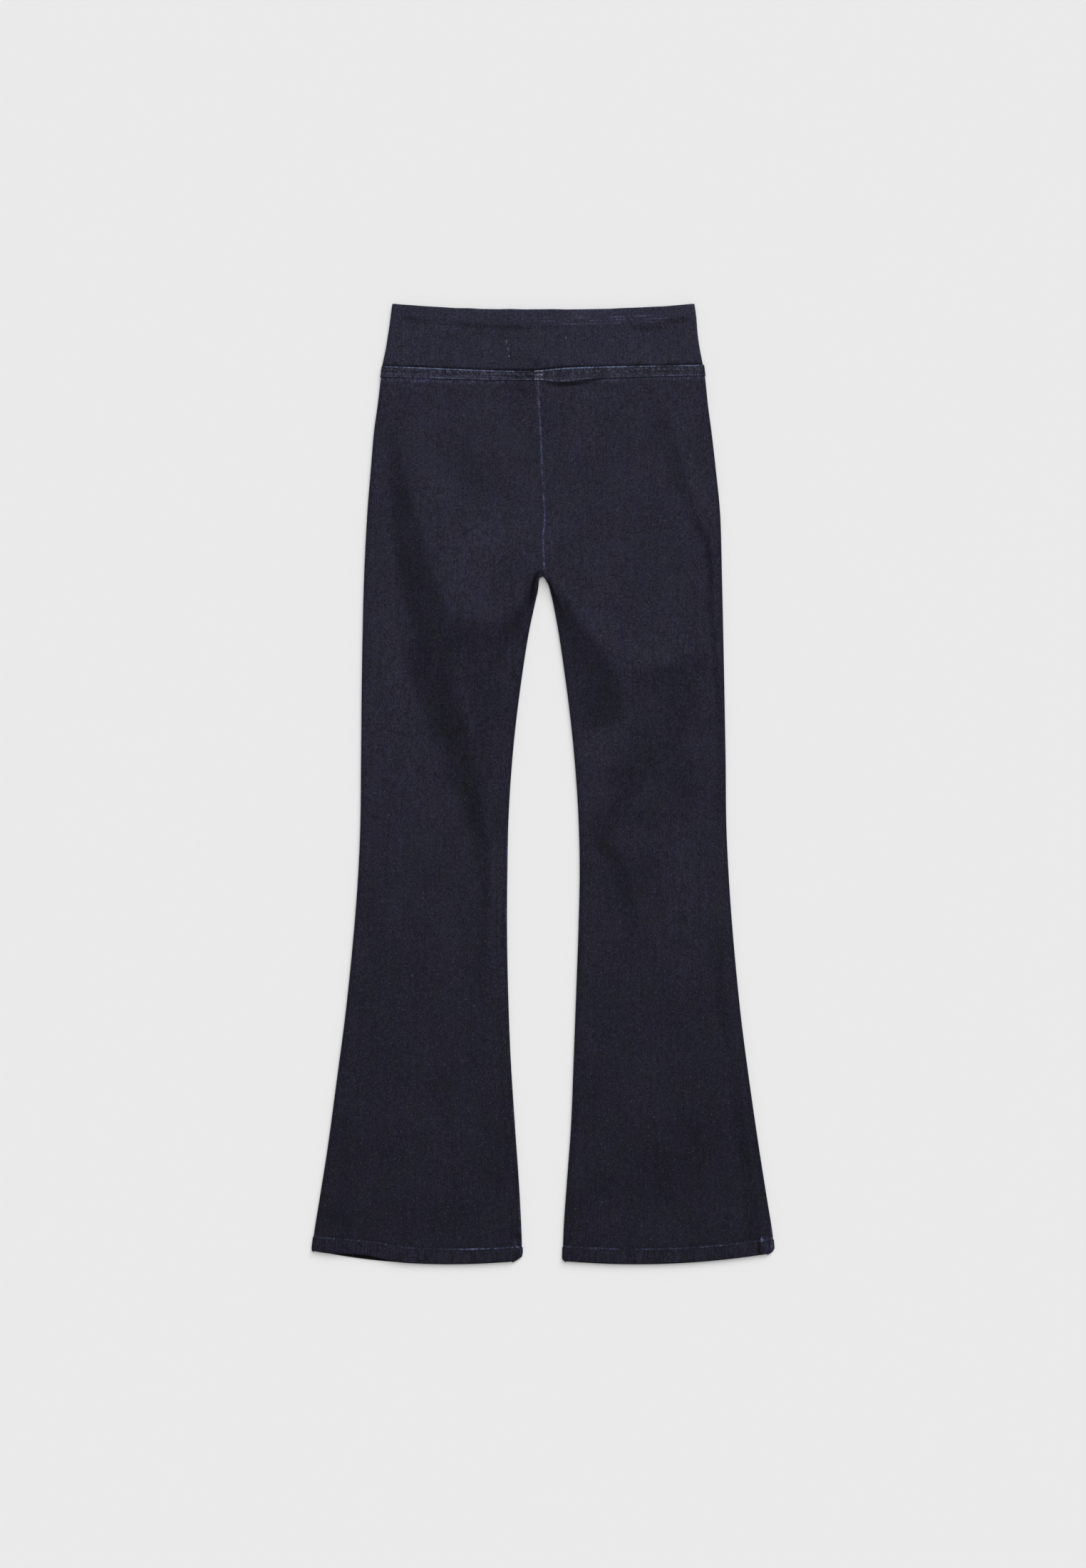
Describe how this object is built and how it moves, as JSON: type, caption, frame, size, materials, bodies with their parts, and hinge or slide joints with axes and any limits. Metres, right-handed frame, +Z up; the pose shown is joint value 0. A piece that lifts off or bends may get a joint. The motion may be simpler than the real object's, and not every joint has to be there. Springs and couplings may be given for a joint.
{
  "type": "flared denim leggings",
  "caption": "Flared pull-on denim leggings laid flat: wide elastic waistband over a seam strip, legs close to the knee, hems that flare wide.",
  "frame": {"origin": "on the surface that the garment lies on, under the middle of its outline", "axes": "+X to the right as it is looked down on, +Y towards the waist, +Z up from the surface, through the back and then the front"},
  "size_m": [0.5055, 1.0514, 0.0063],
  "materials": {
    "leg_denim": "dark indigo stretch denim, matt",
    "waistband_denim": "dark indigo stretch denim, matt",
    "seam_strip_denim": "overlocked denim, lighter where it is worn"
  },
  "bodies": {
    "root": {"front_left_leg": "leg_denim", "front_right_leg": "leg_denim", "back_left_leg": "leg_denim", "back_right_leg": "leg_denim", "waistband_front": "waistband_denim", "waistband_back": "waistband_denim", "waist_seam_strip_front": "seam_strip_denim", "waist_seam_strip_back": "seam_strip_denim"}
  },
  "joints": []
}
